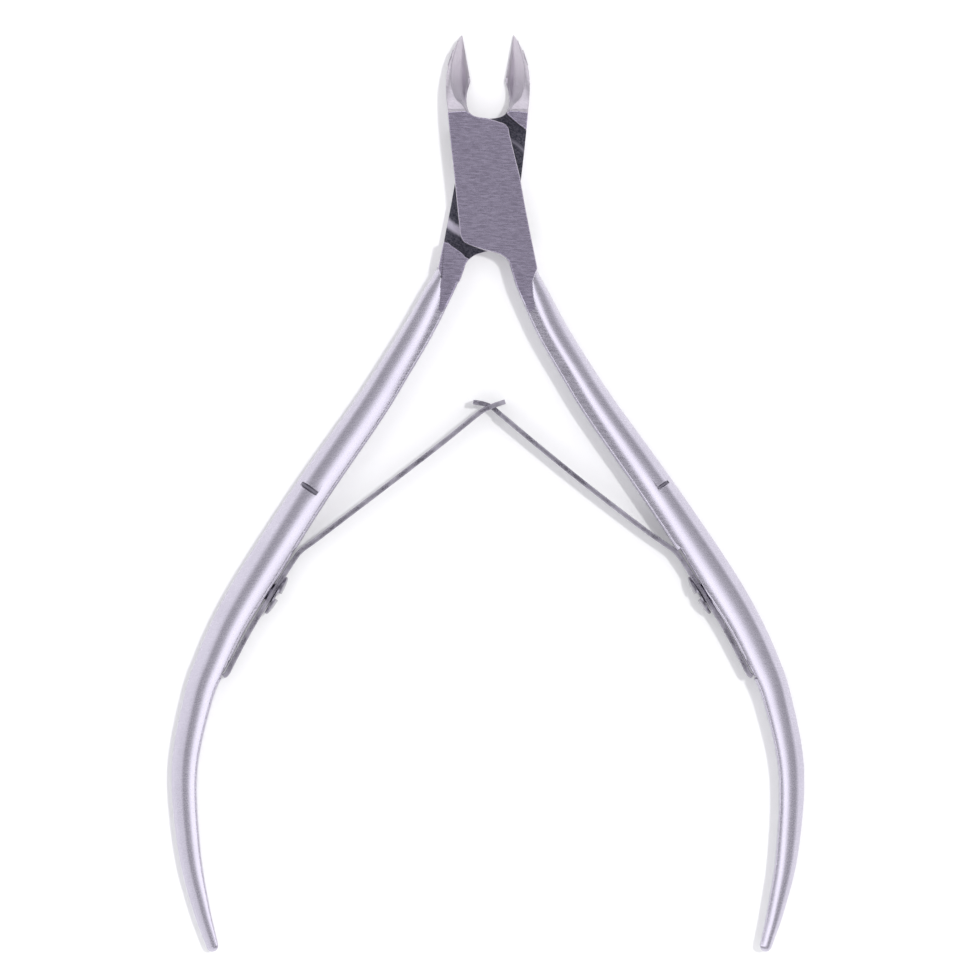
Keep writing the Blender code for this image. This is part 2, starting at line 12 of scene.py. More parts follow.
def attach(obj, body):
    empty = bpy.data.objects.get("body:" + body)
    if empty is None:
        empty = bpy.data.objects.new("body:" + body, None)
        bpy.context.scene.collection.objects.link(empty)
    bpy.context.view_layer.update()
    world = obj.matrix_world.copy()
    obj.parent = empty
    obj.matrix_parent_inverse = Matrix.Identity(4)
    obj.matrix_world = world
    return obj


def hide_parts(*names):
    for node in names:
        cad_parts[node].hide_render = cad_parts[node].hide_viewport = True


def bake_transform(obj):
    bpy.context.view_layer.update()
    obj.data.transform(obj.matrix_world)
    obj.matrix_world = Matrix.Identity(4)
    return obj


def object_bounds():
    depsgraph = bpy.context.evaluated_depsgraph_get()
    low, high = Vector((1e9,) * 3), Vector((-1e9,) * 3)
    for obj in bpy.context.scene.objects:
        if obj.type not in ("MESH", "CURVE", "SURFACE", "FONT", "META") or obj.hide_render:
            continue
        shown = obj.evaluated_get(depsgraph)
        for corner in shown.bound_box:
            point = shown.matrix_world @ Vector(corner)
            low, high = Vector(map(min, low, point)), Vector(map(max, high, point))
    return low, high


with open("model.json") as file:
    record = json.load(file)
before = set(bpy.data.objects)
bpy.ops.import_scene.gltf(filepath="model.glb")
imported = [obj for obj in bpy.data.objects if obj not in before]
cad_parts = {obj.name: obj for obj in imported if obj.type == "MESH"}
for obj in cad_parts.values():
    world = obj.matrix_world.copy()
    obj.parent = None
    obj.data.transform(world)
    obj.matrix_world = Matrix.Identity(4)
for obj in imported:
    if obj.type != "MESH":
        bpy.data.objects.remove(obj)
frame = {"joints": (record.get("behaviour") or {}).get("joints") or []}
cad_low, cad_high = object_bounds()

# Sizes are in millimetres from the pivot: +X right, +Y to the jaw tips, +Z up.
MM = 0.001
JOINTS = {joint["name"]: Vector(joint["pos_m"]) / MM for joint in frame["joints"]}
PIVOT = Vector((JOINTS["jaw_pivot"].x, JOINTS["jaw_pivot"].y, 0.0))
THICKNESS = (cad_high.z - cad_low.z) / MM
MID = THICKNESS / 2
JAW_REACH = cad_high.y / MM - PIVOT.y
LAP_CLEARANCE = 0.08
SPARE = 0.4
PAST = 1.0

HEAD_OUTLINE = (
    (2.80, JAW_REACH, 1),
    (3.72, 14.30, 0),
    (4.36, 12.30, 0),
    (4.55, 10.50, 0),
    (4.36, 7.40, 0),
    (4.00, 3.60, 1),
    (3.60, 0.10, 1),
    (3.10, -4.90, 1),
    (2.90, -6.10, 0),
    (2.62, -6.62, 0),
    (2.05, -6.93, 0),
    (0.50, -7.48, 1),
    (-0.50, -7.72, 0),
    (-1.62, -8.15, 0),
    (-2.32, -8.85, 0),
    (-2.64, -9.75, 0),
    (-3.10, -10.95, 1),
    (-4.60, -11.40, 1),
    (-5.38, -9.50, 1),
    (-4.75, -6.40, 1),
    (-3.99, -2.50, 1),
    (-3.50, 0.33, 1),
    (-2.34, 5.00, 1),
    (-2.19, 5.74, 0),
    (-1.82, 6.14, 0),
    (-1.20, 6.37, 1),
    (0.00, 6.75, 1),
    (1.75, 7.18, 0),
    (2.15, 7.75, 0),
    (2.32, 8.60, 0),
    (2.20, 9.90, 0),
    (1.90, 10.90, 1),
)

LAP_OUTLINE = (
    (1.00, 9.50, 1),
    (1.95, 7.90, 1),
    (2.12, 7.25, 0),
    (2.50, 6.85, 0),
    (4.04, 5.60, 1),
    (7.50, 2.75, 1),
    (7.50, -10.50, 1),
    (-1.20, -10.50, 1),
    (-1.20, -8.90, 1),
    (-2.44, -8.30, 1),
    (-2.85, -7.85, 0),
    (-3.75, -7.22, 0),
    (-4.71, -6.68, 0),
    (-5.60, -7.40, 1),
    (-9.00, -7.40, 1),
    (-9.00, 9.50, 1),
)

# y, then x of the jaw's inner edge, ridge and outer side, z of the edge and the ridge, and the flank's fall.
JAW_STATIONS = (
    (6.90, 2.10, 2.30, 4.30, 6.20, 5.90, 0.08),
    (7.60, 2.12, 2.34, 4.38, 4.40, 4.96, 0.08),
    (8.30, 2.27, 2.80, 4.44, 3.05, 4.80, 0.08),
    (9.00, 2.31, 3.50, 4.48, 2.05, 4.64, 0.12),
    (10.20, 2.10, 3.90, 4.54, 1.20, 4.32, 0.30),
    (11.50, 2.00, 3.97, 4.50, 0.85, 3.86, 0.80),
    (13.00, 2.27, 3.84, 4.12, 0.75, 3.20, 1.10),
    (14.50, 2.53, 3.42, 3.62, 0.70, 2.45, 1.10),
    (16.40, 2.86, 2.87, 2.88, 0.70, 1.35, 1.10),
)
HOLLOW_POWER = 1.9
HOLLOW_POINTS = 18
FLANK_FRACTIONS = (0.15, 0.3, 0.45, 0.6, 0.75, 0.9, 1.0, 1.1)
JAW_CUT_INNER = -0.5
JAW_CUT_OUTER = 6.0
JAW_RELIEF = 0.35
RELIEF_START = 10.0
RELIEF_MIDDLE = 3.5
RELIEF_SIZE = (6.0, 10.0, 2.0)

# The handles on the +X side: x, y, width, depth and lean to +X, then for the rear arm's and the front arm's
# handle the shares of the width at which the flat ends and the side has turned to each of TILTS.
HANDLE_STATIONS = (
    (3.55, -8.30, 2.40, 5.20, -0.10, (0.55, 0.65, 0.76, 0.85), (0.60, 0.70, 0.80, 0.88)),
    (4.53, -10.80, 2.80, 5.10, -0.17, (0.50, 0.60, 0.72, 0.84), (0.52, 0.62, 0.74, 0.86)),
    (5.52, -12.80, 3.06, 5.02, -0.22, (0.22, 0.46, 0.76, 0.88), (0.30, 0.48, 0.70, 0.87)),
    (7.28, -16.20, 3.28, 4.96, -0.30, (0.12, 0.38, 0.74, 0.87), (0.28, 0.42, 0.63, 0.84)),
    (9.87, -20.50, 3.42, 4.94, -0.33, (0.00, 0.34, 0.71, 0.85), (0.27, 0.42, 0.66, 0.82)),
    (12.67, -24.90, 3.60, 4.94, -0.33, (-0.12, 0.30, 0.69, 0.82), (0.22, 0.41, 0.68, 0.81)),
    (18.78, -33.60, 3.78, 4.94, -0.27, (-0.15, 0.28, 0.63, 0.78), (0.12, 0.36, 0.69, 0.80)),
    (24.50, -42.30, 3.92, 4.92, -0.13, (-0.10, 0.29, 0.57, 0.72), (0.08, 0.28, 0.70, 0.80)),
    (27.70, -47.50, 3.65, 4.80, -0.08, (-0.10, 0.25, 0.56, 0.69), (0.07, 0.24, 0.70, 0.80)),
    (29.90, -52.10, 3.45, 4.50, -0.04, (-0.10, 0.24, 0.53, 0.67), (0.07, 0.24, 0.70, 0.80)),
    (31.45, -56.20, 3.12, 4.15, -0.02, (-0.15, 0.21, 0.53, 0.65), (0.07, 0.24, 0.67, 0.78)),
    (32.97, -64.00, 2.82, 3.55, 0.00, (-0.18, 0.19, 0.48, 0.62), (0.08, 0.24, 0.60, 0.75)),
    (32.50, -72.70, 2.43, 2.95, 0.05, (-0.18, 0.20, 0.50, 0.63), (0.10, 0.30, 0.64, 0.80)),
    (31.25, -79.00, 1.85, 2.35, 0.09, (-0.18, 0.15, 0.46, 0.62), (0.12, 0.40, 0.65, 0.80)),
    (30.08, -83.10, 1.30, 1.75, 0.13, (-0.18, 0.08, 0.40, 0.60), (0.12, 0.45, 0.70, 0.82)),
)
TILTS = (0.0, math.radians(11.5), math.radians(25), math.radians(38))
INNER_CORNER = 0.06
CORNER_POINTS = 5
TOP_POINTS = 22
SIDE_POINTS = 12
SIDE_PULL = 0.2
END_ROUNDING = 0.65
END_TURNS = (12, 24, 36, 48, 60, 70, 79, 86)

NICK_WIDTH = {"rear": 0.34, "front": 0.24}
NICK_FLARE = 0.35
NICK_RADIUS = 4.2
NICK_RISE = 2.75
NICK_LEVEL = 0.5
NICK_DIRECTION = ((12.67, -24.90), (24.50, -42.30))
NICK_STARTS = {"rear": (20.4, -32.7), "front": (19.95, -32.4)}
NICK_REACH = {"rear": 1.9, "front": 1.55}

# The spring on the +X side: its seat from tail to bend, then its free line to the tip.
STRIP_THICKNESS = 0.5
STRIP_DEPTH = 3.2
STRIP_CORNER = 0.06
SEAT_CLEARANCE = 0.06
SPRING_BEND = (21.10, -41.20)
SPRING_SEAT = ((28.72, -53.80), (28.30, -53.45), (27.55, -52.00), (25.62, -48.40), (23.05, -44.25))
SPRING_TAIL = (28.30, -53.55)
SEAT_BEFORE_BEND = 1.2
SEAT_PAST_TAIL = 0.8
SEAT_CUT_HEIGHT = 4.0
SEAT_CUT_DEPTH = 8.0
SEAT_ROOM = 0.2
HOLE_ROOM = 0.3
STRIP_HOLE_LENGTH = 3.0
SCREW_FROM_BEND = 4.25
SCREW_BOW = 0.14
TONGUE_LINE = (
    (20.25, -40.15),
    (18.90, -39.20),
    (16.60, -37.55),
    (11.00, -33.25),
    (5.75, -29.00),
    (1.38, -25.35),
)
TONGUE_TIP = ((0.45, -24.58), (-0.45, -24.20), (-1.60, -24.00))
WINDOW_LINE = (
    (20.25, -40.15),
    (18.90, -39.15),
    (16.60, -37.40),
    (10.50, -32.75),
    (5.00, -28.50),
    (0.95, -25.22),
)
WINDOW_TIP = ((-0.10, -24.62), (-1.00, -24.25), (-1.87, -23.97))
WINDOW_MIDDLE = (0.20, -24.78)
WINDOW_SIZE = (2.45, 2.0)
NECK_MIDDLE = (0.38, -24.60)
NECK_SIZE = (2.55, 1.5)
NECK_SLOPE = math.radians(-30)
WINDOW_SLOPE = math.radians(-31)
STRIP_CUT_WIDTH = 2.4

PIVOT_HEAD_RADIUS = 2.1
PIVOT_SHANK_RADIUS = 1.25
PIVOT_HEAD_SINK = 0.1
PIVOT_CONE = 0.85
PIVOT_RIM = 0.12
PIVOT_TOP = 4.15
PIVOT_END_ROOM = 0.1
PIVOT_CHAMFER = 0.25
PIVOT_SLOT_WIDTH = 0.6
PIVOT_SLOT_DEPTH = 0.4
PIVOT_SLOT_TURN = math.radians(28)
RUNNING_FIT = 0.05

HEAD_RADIUS = 2.3
HEAD_HEIGHT = 0.62
HEAD_RIM = 0.26
HEAD_CLEARANCE = 0.02
SHANK_RADIUS = 1.0
SHANK_LENGTH = 2.6
SCREW_SLOT_WIDTH = 0.8
SCREW_SLOT_DEPTH = 0.42

OUTLINE_STEPS = 10
LOFT_STEPS = 8
JAW_STEPS = 7
STRIP_STEPS = 10
TURN_STEPS = 72
EDGE_WIDTH = 0.09
STRIP_EDGE_WIDTH = 0.02
SCREW_EDGE_WIDTH = 0.03
EDGE_SEGMENTS = 3
EDGE_ANGLE = math.radians(24)
SHARP_ANGLE = math.radians(50)
WELD = 0.004
ARM_WELD = 0.008
EDGE_WELD = 0.001


# ---------------------------------------------------------------- meshes


def smooth_rows(rows, steps):
    """Rows of numbers along a smooth curve through the given rows, with steps of them to each span."""
    rows = np.array(rows, dtype=float)
    padded = [2 * rows[0] - rows[1], *rows, 2 * rows[-1] - rows[-2]]
    found = []
    for a, b, c, d in zip(padded, padded[1:], padded[2:], padded[3:]):
        for i in range(steps):
            t = i / steps
            cubic = (3 * b - a - 3 * c + d) * t**3
            square = (2 * a - 5 * b + 4 * c - d) * t**2
            found.append((2 * b + (c - a) * t + square + cubic) / 2)
    found.append(rows[-1])
    return found


def mesh_object(name, shape, finishes):
    """An object from a bmesh in millimetres from the pivot, with its place in its mesh."""
    bmesh.ops.recalc_face_normals(shape, faces=shape.faces)
    if shape.calc_volume(signed=True) < 0:
        bmesh.ops.reverse_faces(shape, faces=shape.faces)
    bmesh.ops.transform(shape, matrix=Matrix.Scale(MM, 4) @ Matrix.Translation(PIVOT), verts=shape.verts)
    mesh = bpy.data.meshes.new(name)
    shape.to_mesh(mesh)
    shape.free()
    for finish in finishes:
        mesh.materials.append(finish)
    made = bpy.data.objects.new(name, mesh)
    bpy.context.scene.collection.objects.link(made)
    return made


def fit_outline(points, steps):
    """A closed outline through x, y, corner points: straight between corners, a smooth curve elsewhere."""
    curve = bpy.data.curves.new("outline", "CURVE")
    curve.dimensions = "2D"
    curve.fill_mode = "NONE"
    curve.resolution_u = steps
    spline = curve.splines.new("BEZIER")
    spline.bezier_points.add(len(points) - 1)
    for knot, (x, y, corner) in zip(spline.bezier_points, points):
        knot.co = (x, y, 0.0)
        knot.handle_left_type = "VECTOR" if corner else "AUTO"
        knot.handle_right_type = knot.handle_left_type
    spline.use_cyclic_u = True
    drawn = bpy.data.objects.new("outline", curve)
    bpy.context.scene.collection.objects.link(drawn)
    bpy.context.view_layer.update()
    mesh = bpy.data.meshes.new_from_object(drawn.evaluated_get(bpy.context.evaluated_depsgraph_get()))
    found = [Vector(vertex.co) for vertex in mesh.vertices]
    bpy.data.objects.remove(drawn)
    bpy.data.meshes.remove(mesh)
    kept = [found[0]]
    for point in found[1:]:
        if (point - kept[-1]).length > 0.01 and (point - kept[0]).length > 0.01:
            kept.append(point)
    return kept


def prism(name, points, low, high, wall, cap):
    """An extruded outline with its own finishes on the wall and on the two flat ends."""
    shape = bmesh.new()
    outline = fit_outline(points, OUTLINE_STEPS)
    rings = [[shape.verts.new((p.x, p.y, z)) for p in outline] for z in (low, high)]
    for i in range(len(outline)):
        j = (i + 1) % len(outline)
        shape.faces.new((rings[0][i], rings[0][j], rings[1][j], rings[1][i]))
    for ring in rings:
        shape.faces.new(ring).material_index = 1
    return mesh_object(name, shape, (wall, cap))


def loft(name, rings, finishes, choose=None):
    """A closed solid through rings of equally many points; choose gives a strip's finish from its place."""
    shape = bmesh.new()
    layers = [[shape.verts.new(point) for point in ring] for ring in rings]
    for lower, upper in zip(layers, layers[1:]):
        for i in range(len(lower)):
            j = (i + 1) % len(lower)
            face = shape.faces.new((lower[i], lower[j], upper[j], upper[i]))
            if choose:
                face.material_index = choose(i)
    shape.faces.new(layers[0])
    shape.faces.new(layers[-1])
    return mesh_object(name, shape, finishes)


def box(name, size, place, finish, rotation=Matrix()):
    shape = bmesh.new()
    bmesh.ops.create_cube(shape, size=1.0)
    bmesh.ops.scale(shape, vec=Vector(size), verts=shape.verts)
    shape.transform(Matrix.Translation(place) @ rotation)
    return mesh_object(name, shape, (finish,))


def rod(name, radius, length, place, finish, rotation):
    shape = bmesh.new()
    ends = {"radius1": radius, "radius2": radius, "depth": length}
    bmesh.ops.create_cone(shape, cap_ends=True, segments=TURN_STEPS, **ends)
    shape.transform(Matrix.Translation(place) @ rotation)
    return mesh_object(name, shape, (finish,))


def turned(name, profile, finish, placing=Matrix()):
    """A profile of radius and height turned about Z; the first and last points lie on the axis."""
    shape = bmesh.new()
    top = shape.verts.new((0.0, 0.0, profile[0][1]))
    foot = shape.verts.new((0.0, 0.0, profile[-1][1]))
    rings = []
    for radius, height in profile[1:-1]:
        turns = [2 * math.pi * i / TURN_STEPS for i in range(TURN_STEPS)]
        rings.append([shape.verts.new((radius * math.cos(t), radius * math.sin(t), height)) for t in turns])
    for i in range(TURN_STEPS):
        j = (i + 1) % TURN_STEPS
        shape.faces.new((top, rings[0][i], rings[0][j]))
        shape.faces.new((foot, rings[-1][j], rings[-1][i]))
        for upper, lower in zip(rings, rings[1:]):
            shape.faces.new((upper[i], lower[i], lower[j], upper[j]))
    shape.transform(placing)
    return mesh_object(name, shape, (finish,))


def combine(target, other, operation):
    made = target.modifiers.new(other.name, "BOOLEAN")
    made.operation = operation
    made.object = other
    made.solver = "EXACT"
    made.material_mode = "TRANSFER"


def settle(made, weld=WELD):
    """Applies the modifiers, removes their cutters and welds slivers."""
    cutters = [modifier.object for modifier in made.modifiers if modifier.type == "BOOLEAN"]
    bpy.context.view_layer.update()
    mesh = bpy.data.meshes.new_from_object(made.evaluated_get(bpy.context.evaluated_depsgraph_get()))
    made.modifiers.clear()
    made.data = mesh
    for cutter in cutters:
        bpy.data.objects.remove(cutter)
    shape = bmesh.new()
    shape.from_mesh(mesh)
    bmesh.ops.remove_doubles(shape, verts=shape.verts, dist=weld * MM)
    bmesh.ops.dissolve_degenerate(shape, edges=shape.edges, dist=weld * MM)
    shape.to_mesh(mesh)
    shape.free()


def keep_inside(mesh):
    """Holds every point inside the CAD model's box."""
    for vertex in mesh.vertices:
        vertex.co = [min(max(c, low), high) for c, low, high in zip(vertex.co, cad_low, cad_high)]


def ease_edges(made, width=EDGE_WIDTH):
    """Small rounded edges and flat-looking flats."""
    bevel = made.modifiers.new("edges", "BEVEL")
    bevel.limit_method = "ANGLE"
    bevel.angle_limit = EDGE_ANGLE
    bevel.width = width * MM
    bevel.segments = EDGE_SEGMENTS
    bevel.use_clamp_overlap = False
    settle(made, EDGE_WELD)
    keep_inside(made.data)
    made.data.shade_smooth()
    made.data.set_sharp_from_angle(angle=SHARP_ANGLE)
    weighted = made.modifiers.new("normals", "WEIGHTED_NORMAL")
    weighted.keep_sharp = True
    weighted.weight = 60


# ---------------------------------------------------------------- materials

# Keeps flat faces off the planes where the noise is even.
GRAIN_OFFSET = (0.37, 0.61, 0.43)


class Nodes:
    """Short calls for the nodes of one material."""

    def __init__(self, name):
        self.material = bpy.data.materials.new(name)
        self.material.use_nodes = True
        self.tree = self.material.node_tree
        self.shader = self.tree.nodes["Principled BSDF"]
        self.place = self.tree.nodes.new("ShaderNodeTexCoord").outputs["Object"]

    def new(self, kind, **settings):
        node = self.tree.nodes.new(kind)
        for key, value in settings.items():
            setattr(node, key, value)
        return node

    def feed(self, socket, value):
        if hasattr(value, "links"):
            self.tree.links.new(value, socket)
        else:
            socket.default_value = value

    def noise(self, scale, turn=0.0, detail=3.0, roughness=0.55, source=None):
        """Noise whose grain is scale = (x, y, z) per millimetre, turned about Z."""
        mapping = self.new("ShaderNodeMapping")
        self.feed(mapping.inputs["Vector"], source or self.place)
        mapping.inputs["Rotation"].default_value = (0.0, 0.0, turn)
        first = self.new("ShaderNodeMapping")
        self.feed(first.inputs["Vector"], mapping.outputs[0])
        first.inputs["Scale"].default_value = [value / MM for value in scale]
        first.inputs["Location"].default_value = GRAIN_OFFSET
        noise = self.new("ShaderNodeTexNoise")
        self.feed(noise.inputs["Vector"], first.outputs[0])
        noise.inputs["Scale"].default_value = 1.0
        noise.inputs["Detail"].default_value = detail
        noise.inputs["Roughness"].default_value = roughness
        return noise.outputs["Fac"]

    def ranged(self, value, low, high, to_low=0.0, to_high=1.0):
        node = self.new("ShaderNodeMapRange")
        for index, number in enumerate((value, low, high, to_low, to_high)):
            self.feed(node.inputs[index], number)
        return node.outputs[0]

    def math(self, operation, *values):
        node = self.new("ShaderNodeMath", operation=operation)
        for socket, value in zip(node.inputs, values):
            self.feed(socket, value)
        return node.outputs[0]

    def mix(self, share, first, second):
        node = self.new("ShaderNodeMix", data_type="RGBA")
        self.feed(node.inputs["Factor"], share)
        self.feed(node.inputs["A"], first if hasattr(first, "links") else (*first, 1.0))
        self.feed(node.inputs["B"], second if hasattr(second, "links") else (*second, 1.0))
        return node.outputs["Result"]

    def bump(self, height, strength, distance):
        node = self.new("ShaderNodeBump")
        node.inputs["Strength"].default_value = strength
        node.inputs["Distance"].default_value = distance * MM
        self.feed(node.inputs["Height"], height)
        self.feed(self.shader.inputs["Normal"], node.outputs[0])

    def axis(self, index):
        node = self.new("ShaderNodeSeparateXYZ")
        self.feed(node.inputs[0], self.place)
        return node.outputs[index]

    def done(self, color, roughness, metallic=1.0):
        self.feed(self.shader.inputs["Base Color"], color if hasattr(color, "links") else (*color, 1.0))
        self.feed(self.shader.inputs["Roughness"], roughness)
        self.shader.inputs["Metallic"].default_value = metallic
        return self.material


def brushed(name, dark, light, rough, grain, turn=0.0, depth=0.004):
    """Steel with fine parallel lines, slow cloudy variation and a satin grain."""
    n = Nodes(name)
    lines = n.noise(grain, turn, detail=4.0, roughness=0.7)
    clouds = n.noise((0.3, 0.3, 0.3), detail=2.0)
    satin = n.noise((9.0, 9.0, 9.0), detail=2.0)
    streak = n.math("ADD", n.math("MULTIPLY", lines, 0.88), n.math("MULTIPLY", satin, 0.12))
    tone = n.ranged(n.math("ADD", streak, n.math("MULTIPLY", clouds, 0.15)), 0.42, 0.72)
    n.bump(streak, 0.5, depth)
    return n.done(n.mix(tone, dark, light), n.ranged(streak, 0.35, 0.65, rough[0], rough[1]))


def ground_finish(name):
    dark, light = (0.36, 0.32, 0.43), (0.49, 0.44, 0.57)
    return brushed(name, dark, light, (0.23, 0.29), (0.9, 7.5, 0.9), turn=0.05)


def handle_finish(name, side):
    """Transverse brush lines below the head that fade into a finer satin polish down the handle."""
    n = Nodes(name)
    lines = n.noise((1.0, 7.5, 1.0), side * math.radians(8), detail=4.0, roughness=0.7)
    satin = n.noise((8.0, 8.0, 8.0), detail=3.0, roughness=0.7)
    clouds = n.noise((0.25, 0.25, 0.25), detail=2.0)
    fade = n.ranged(n.axis(1), (PIVOT.y - 75.0) * MM, (PIVOT.y - 20.0) * MM, 0.25, 0.6)
    brush = n.math("MULTIPLY", n.math("SUBTRACT", lines, 0.5), fade)
    grain = n.math("MULTIPLY", n.math("SUBTRACT", satin, 0.5), 0.5)
    relief = n.math("ADD", brush, grain)
    n.bump(relief, 0.5, 0.007)
    tone = n.ranged(n.math("ADD", relief, n.math("MULTIPLY", clouds, 0.3)), -0.05, 0.35)
    rough = n.ranged(relief, -0.15, 0.15, 0.22, 0.30)
    return n.done(n.mix(tone, (0.52, 0.49, 0.575), (0.63, 0.60, 0.69)), rough)


def hollow_finish(name):
    """The wheel-ground hollow: lines along the jaw, with painted shade that darkens it towards its root."""
    n = Nodes(name)
    lines = n.noise((5.0, 0.35, 0.6), detail=4.0, roughness=0.65)
    # Painted shade: the hollow's colour darkens towards its root.
    root = n.ranged(n.axis(1), (PIVOT.y + 8.2) * MM, (PIVOT.y + 13.5) * MM)
    n.bump(lines, 0.5, 0.005)
    painted_shade_colour = n.mix(lines, (0.27, 0.25, 0.30), (0.38, 0.35, 0.41))
    unshaded_colour = n.mix(lines, (0.50, 0.46, 0.52), (0.66, 0.61, 0.67))
    return n.done(n.mix(root, painted_shade_colour, unshaded_colour), n.ranged(lines, 0.3, 0.7, 0.26, 0.36))


def flank_finish(name):
    dark, light = (0.49, 0.455, 0.51), (0.64, 0.60, 0.66)
    return brushed(name, dark, light, (0.38, 0.46), (1.6, 5.0, 1.6), turn=0.5, depth=0.008)


def recess_finish(name):
    """The milled lap face: dark scale with circular cutter marks round the pivot and painted reflections of a
    few bright rings.
    """
    n = Nodes(name)
    mapping = n.new("ShaderNodeMapping")
    n.feed(mapping.inputs["Vector"], n.place)
    mapping.inputs["Location"].default_value = -PIVOT * MM
    length = n.new("ShaderNodeVectorMath", operation="LENGTH")
    flat = n.new("ShaderNodeVectorMath", operation="MULTIPLY")
    n.feed(flat.inputs[0], mapping.outputs[0])
    flat.inputs[1].default_value = (1.0, 1.0, 0.0)
    n.feed(length.inputs[0], flat.outputs[0])
    radius = n.math("DIVIDE", length.outputs["Value"], MM)
    wobble = n.noise((0.9, 0.9, 0.9), detail=3.0)
    marks = n.math("SINE", n.math("MULTIPLY", n.math("ADD", radius, n.math("MULTIPLY", wobble, 0.25)), 26.0))
    grit = n.noise((5.0, 5.0, 5.0), detail=4.0)
    # Painted reflections: a lighter ring 6.25 mm from the pivot on the left and a fainter one 5.1 mm out on
    # the right.
    away = n.math("ABSOLUTE", n.math("SUBTRACT", radius, 6.25))
    ring = n.ranged(n.math("ADD", away, n.math("MULTIPLY", wobble, 0.3)), 0.35, 0.75, 1.0, 0.0)
    inner = n.math("ABSOLUTE", n.math("SUBTRACT", radius, 5.1))
    faint = n.ranged(n.math("ADD", inner, n.math("MULTIPLY", grit, 0.3)), 0.15, 0.4, 0.35, 0.0)
    left = n.ranged(n.axis(0), -0.002, 0.001, 1.0, 0.0)
    right = n.math("SUBTRACT", 1.0, left)
    bright = n.math("ADD", n.math("MULTIPLY", ring, left), n.math("MULTIPLY", faint, right))
    height = n.math("ADD", n.math("MULTIPLY", marks, 0.3), grit)
    n.bump(height, 0.6, 0.03)
    scale = n.mix(n.ranged(grit, 0.35, 0.65), (0.035, 0.035, 0.05), (0.13, 0.125, 0.155))
    # The painted ring reflections lighten the dark scale here.
    color = n.mix(n.math("MULTIPLY", bright, 0.8), scale, (0.62, 0.58, 0.68))
    return n.done(color, n.ranged(grit, 0.3, 0.7, 0.5, 0.62))


def nick_finish(name):
    n = Nodes(name)
    grit = n.noise((6.0, 6.0, 6.0))
    n.bump(grit, 0.5, 0.02)
    return n.done(n.mix(grit, (0.16, 0.15, 0.19), (0.34, 0.32, 0.38)), n.ranged(grit, 0.3, 0.7, 0.4, 0.55))


def strip_finish(name):
    """Rolled spring strip: lengthwise rolling lines and fine specks of oxide."""
    n = Nodes(name)
    lines = n.noise((0.5, 0.5, 6.0), detail=3.0)
    film = n.noise((5.5, 5.5, 5.5), detail=3.0)
    rolled = n.math("ADD", n.math("MULTIPLY", lines, 0.7), n.math("MULTIPLY", film, 0.3))
    n.bump(rolled, 0.5, 0.008)
    tone = n.ranged(rolled, 0.35, 0.65)
    color = n.mix(tone, (0.24, 0.225, 0.27), (0.43, 0.405, 0.47))
    return n.done(color, n.ranged(rolled, 0.35, 0.65, 0.24, 0.34))


def turned_finish(name):
    """Screw steel: fine grain and a little grime."""
    n = Nodes(name)
    grain = n.noise((3.0, 3.0, 3.0), detail=4.0)
    grime = n.noise((0.9, 0.9, 0.9), detail=3.0)
    n.bump(grain, 0.4, 0.008)
    tone = n.ranged(n.math("ADD", n.math("MULTIPLY", grain, 0.3), grime), 0.4, 0.9)
    return n.done(n.mix(tone, (0.17, 0.16, 0.19), (0.36, 0.34, 0.40)), n.ranged(grain, 0.3, 0.7, 0.18, 0.28))


# ---------------------------------------------------------------- pieces


def mirrored(points, side):
    return [(side * x, *rest) for x, *rest in points]


def handle_section(width, depth, shares):
    """Points round a bar with its flat side inwards: across from its middle, outwards positive, and up."""
    half, rise = width / 2, depth / 2
    corner = INNER_CORNER * width
    upper = []
    for i in range(CORNER_POINTS):
        angle = math.pi / 2 * i / CORNER_POINTS
        upper.append((-half + corner * (1 - math.cos(angle)), rise - corner * (1 - math.sin(angle))))
    across, up = -half + corner, rise
    step = (shares[-1] - INNER_CORNER) / TOP_POINTS
    for i in range(TOP_POINTS):
        upper.append((across, up))
        tilt = float(np.interp(INNER_CORNER + (i + 0.5) * step, shares, TILTS))
        across += step * width
        up -= step * width * math.tan(tilt)
    start, end = Vector((across, up)), Vector((half, 0.0))
    pull = SIDE_PULL * (end - start).length
    leave = start + pull * Vector((math.cos(TILTS[-1]), -math.sin(TILTS[-1])))
    leave.x = min(leave.x, half)
    arrive = end + Vector((0.0, pull))
    for i in range(SIDE_POINTS + 1):
        t = i / SIDE_POINTS
        early = (1 - t) ** 3 * start + 3 * t * (1 - t) ** 2 * leave
        spot = early + 3 * t * t * (1 - t) * arrive + t**3 * end
        upper.append((spot.x, spot.y))
    lower = [(across, -up) for across, up in reversed(upper[:-1])]
    return upper + lower


def handle_rings(which, side):
    rows = smooth_rows([(*row[:5], *row[5 if which == "rear" else 6]) for row in HANDLE_STATIONS], LOFT_STEPS)
    centres = [Vector((row[0], row[1])) for row in rows]
    ahead = [(b - a).normalized() for a, b in zip(centres[:1] + centres[:-1], centres[1:] + centres[-1:])]
    places = [(centre, along, 1.0, row) for centre, along, row in zip(centres, ahead, rows)]
    centre, along, _, row = places[-1]
    for turn in END_TURNS:
        forward = centre + along * END_ROUNDING * math.sin(math.radians(turn))
        places.append((forward, along, math.cos(math.radians(turn)), row))
    rings = []
    for centre, along, scale, (_, _, width, depth, lean, *shares) in places:
        outward = Vector((-along.y, along.x))
        ring = []
        for across, up in handle_section(scale * width, scale * depth, shares):
            spot = centre + outward * across
            ring.append((side * spot.x + lean, spot.y, MID + up))
        rings.append(ring)
    return rings


